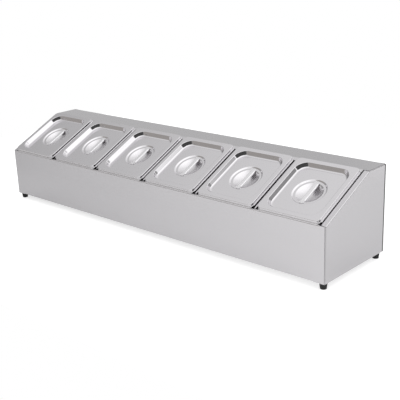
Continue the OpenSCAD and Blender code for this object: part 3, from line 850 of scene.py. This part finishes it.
# Darker parts of the studio: direction, angles from it where each begins and ends to fade, colour
PATCHES = (
    ((-0.68, 0.68, 0.26), 12, 34, gray(0.6)),
    ((-0.72, -0.7, -0.15), 25, 40, (0.45, 0.43, 0.41)),
    ((0.72, 0.62, 0.28), 14, 24, gray(0.36)),
    ((0.2, -0.97, -0.12), 20, 32, gray(0.08)),
    ((0.62, -0.78, 0), 20, 32, gray(0.08)),
    ((0.92, -0.25, 0.22), 22, 32, gray(0.08)),
    ((0.3, 0.9, 0.3), 8, 18, gray(0.1)),
)


def add_floor_glow(tree):
    """Glow of the floor by place: a pool in front, more close to the rail and behind its right end."""
    x, y, _ = add_axes(tree, "Object")
    middle, per_x, per_y = POOL
    glow = add_math(tree, "MULTIPLY_ADD", x, per_x, middle)
    glow = add_math(tree, "MULTIPLY_ADD", y, per_y, glow)
    glow = add_math(tree, "MINIMUM", add_math(tree, "MAXIMUM", glow, 0), POOL_MOST)
    right = add_rise(tree, x, *RIGHT_X)
    near = add_math(tree, "SUBTRACT", 1 + NEAR_BESIDE, right)
    near = add_math(tree, "MULTIPLY", add_rise(tree, y, *NEAR_Y), near)
    glow = add_math(tree, "MULTIPLY_ADD", near, NEAR_GLOW, glow)
    behind = add_math(tree, "MULTIPLY", add_math(tree, "MAXIMUM", y, 0), RIGHT_GLOW)
    glow = add_math(tree, "MULTIPLY_ADD", behind, right, glow)
    faded = add_math(tree, "MULTIPLY", right, add_rise(tree, y, *RIGHT_FADE_Y))
    return add_math(tree, "MULTIPLY", glow, add_math(tree, "SUBTRACT", 1, faded))


def add_floor():
    """Pale floor, lifted to white where the camera sees it in the open."""
    left, right, front, rear = FLOOR_EDGES
    corners = [(left, front, 0), (right, front, 0), (right, rear, 0), (left, rear, 0)]
    mesh = bpy.data.meshes.new("floor")
    mesh.from_pydata(corners, [], [(0, 1, 2, 3)])
    material, shader = new_material("pale floor", gray(FLOOR_LEVEL), FLOOR_ROUGH, 0.0)
    shader.inputs["Specular IOR Level"].default_value = 0
    shader.inputs["Emission Color"].default_value = (*gray(1), 1)
    tree = material.node_tree
    path = tree.nodes.new("ShaderNodeLightPath").outputs
    mirrored = add_math(tree, "MAXIMUM", path["Is Glossy Ray"], path["Is Transmission Ray"])
    glow = add_math(tree, "MULTIPLY", mirrored, add_floor_glow(tree))
    lift = add_math(tree, "MULTIPLY_ADD", path["Is Camera Ray"], CAMERA_LIFT, glow)
    tree.links.new(lift, shader.inputs["Emission Strength"])
    mesh.materials.append(material)
    floor = bpy.data.objects.new("floor", mesh)
    bpy.context.scene.collection.objects.link(floor)


def add_camera():
    """The photograph's view: a camera on the right in front, a little turned about its axis."""
    sin, cos = math.sin, math.cos
    flat = Vector((sin(CAMERA_YAW), cos(CAMERA_YAW), 0))
    forward = cos(CAMERA_PITCH) * flat - sin(CAMERA_PITCH) * Vector((0, 0, 1))
    level = Vector((flat.y, -flat.x, 0))
    upright = level.cross(forward)
    right = cos(CAMERA_ROLL) * level + sin(CAMERA_ROLL) * upright
    up = cos(CAMERA_ROLL) * upright - sin(CAMERA_ROLL) * level
    data = bpy.data.cameras.new("camera")
    data.sensor_width = CAMERA_SENSOR_W
    data.lens = CAMERA_LENS
    camera = bpy.data.objects.new("camera", data)
    bpy.context.scene.collection.objects.link(camera)
    turn = Matrix((right, up, -forward)).transposed().to_4x4()
    camera.matrix_world = Matrix.Translation(CAMERA_PLACE) @ turn
    bpy.context.scene.camera = camera


def add_world():
    """Studio surroundings: bright overhead and to the right, dimmer at the left, with dark patches."""
    world = bpy.data.worlds.new("studio")
    bpy.context.scene.world = world
    world.use_nodes = True
    tree = world.node_tree
    x, y, z = add_axes(tree, "Generated")
    overhead = add_math(tree, "MULTIPLY", add_math(tree, "MULTIPLY", z, z), y)
    side = add_math(tree, "MULTIPLY_ADD", overhead, -REAR_TURN, x)
    ramp = tree.nodes.new("ShaderNodeValToRGB")
    tree.links.new(add_math(tree, "MULTIPLY_ADD", side, 0.5, 0.5), ramp.inputs["Fac"])
    stops = ramp.color_ramp.elements
    while len(stops) < len(WORLD_LEVELS):
        stops.new(0.5)
    for stop, (at, level) in zip(stops, WORLD_LEVELS):
        stop.position = (at + 1) / 2
        stop.color = (*gray(level), 1)
    colour = ramp.outputs["Color"]
    for toward, inner, outer, shade in PATCHES:
        reach = add_reach(tree, "Generated", Vector(toward).normalized())
        far, near = (math.cos(math.radians(angle)) for angle in (outer, inner))
        colour = add_mix(tree, add_rise(tree, reach, far, near), colour, shade)
    path = tree.nodes.new("ShaderNodeLightPath").outputs
    seen = add_math(tree, "MAXIMUM", path["Is Camera Ray"], path["Is Transmission Ray"])
    background = tree.nodes["Background"].inputs
    tree.links.new(add_mix(tree, seen, colour, gray(1)), background["Color"])
    background["Strength"].default_value = 1


add_housing()
add_pans_and_lids()
add_feet()
dress_cad_nodes()
add_floor()
add_camera()
add_world()
bpy.context.scene.view_settings.view_transform = "Standard"
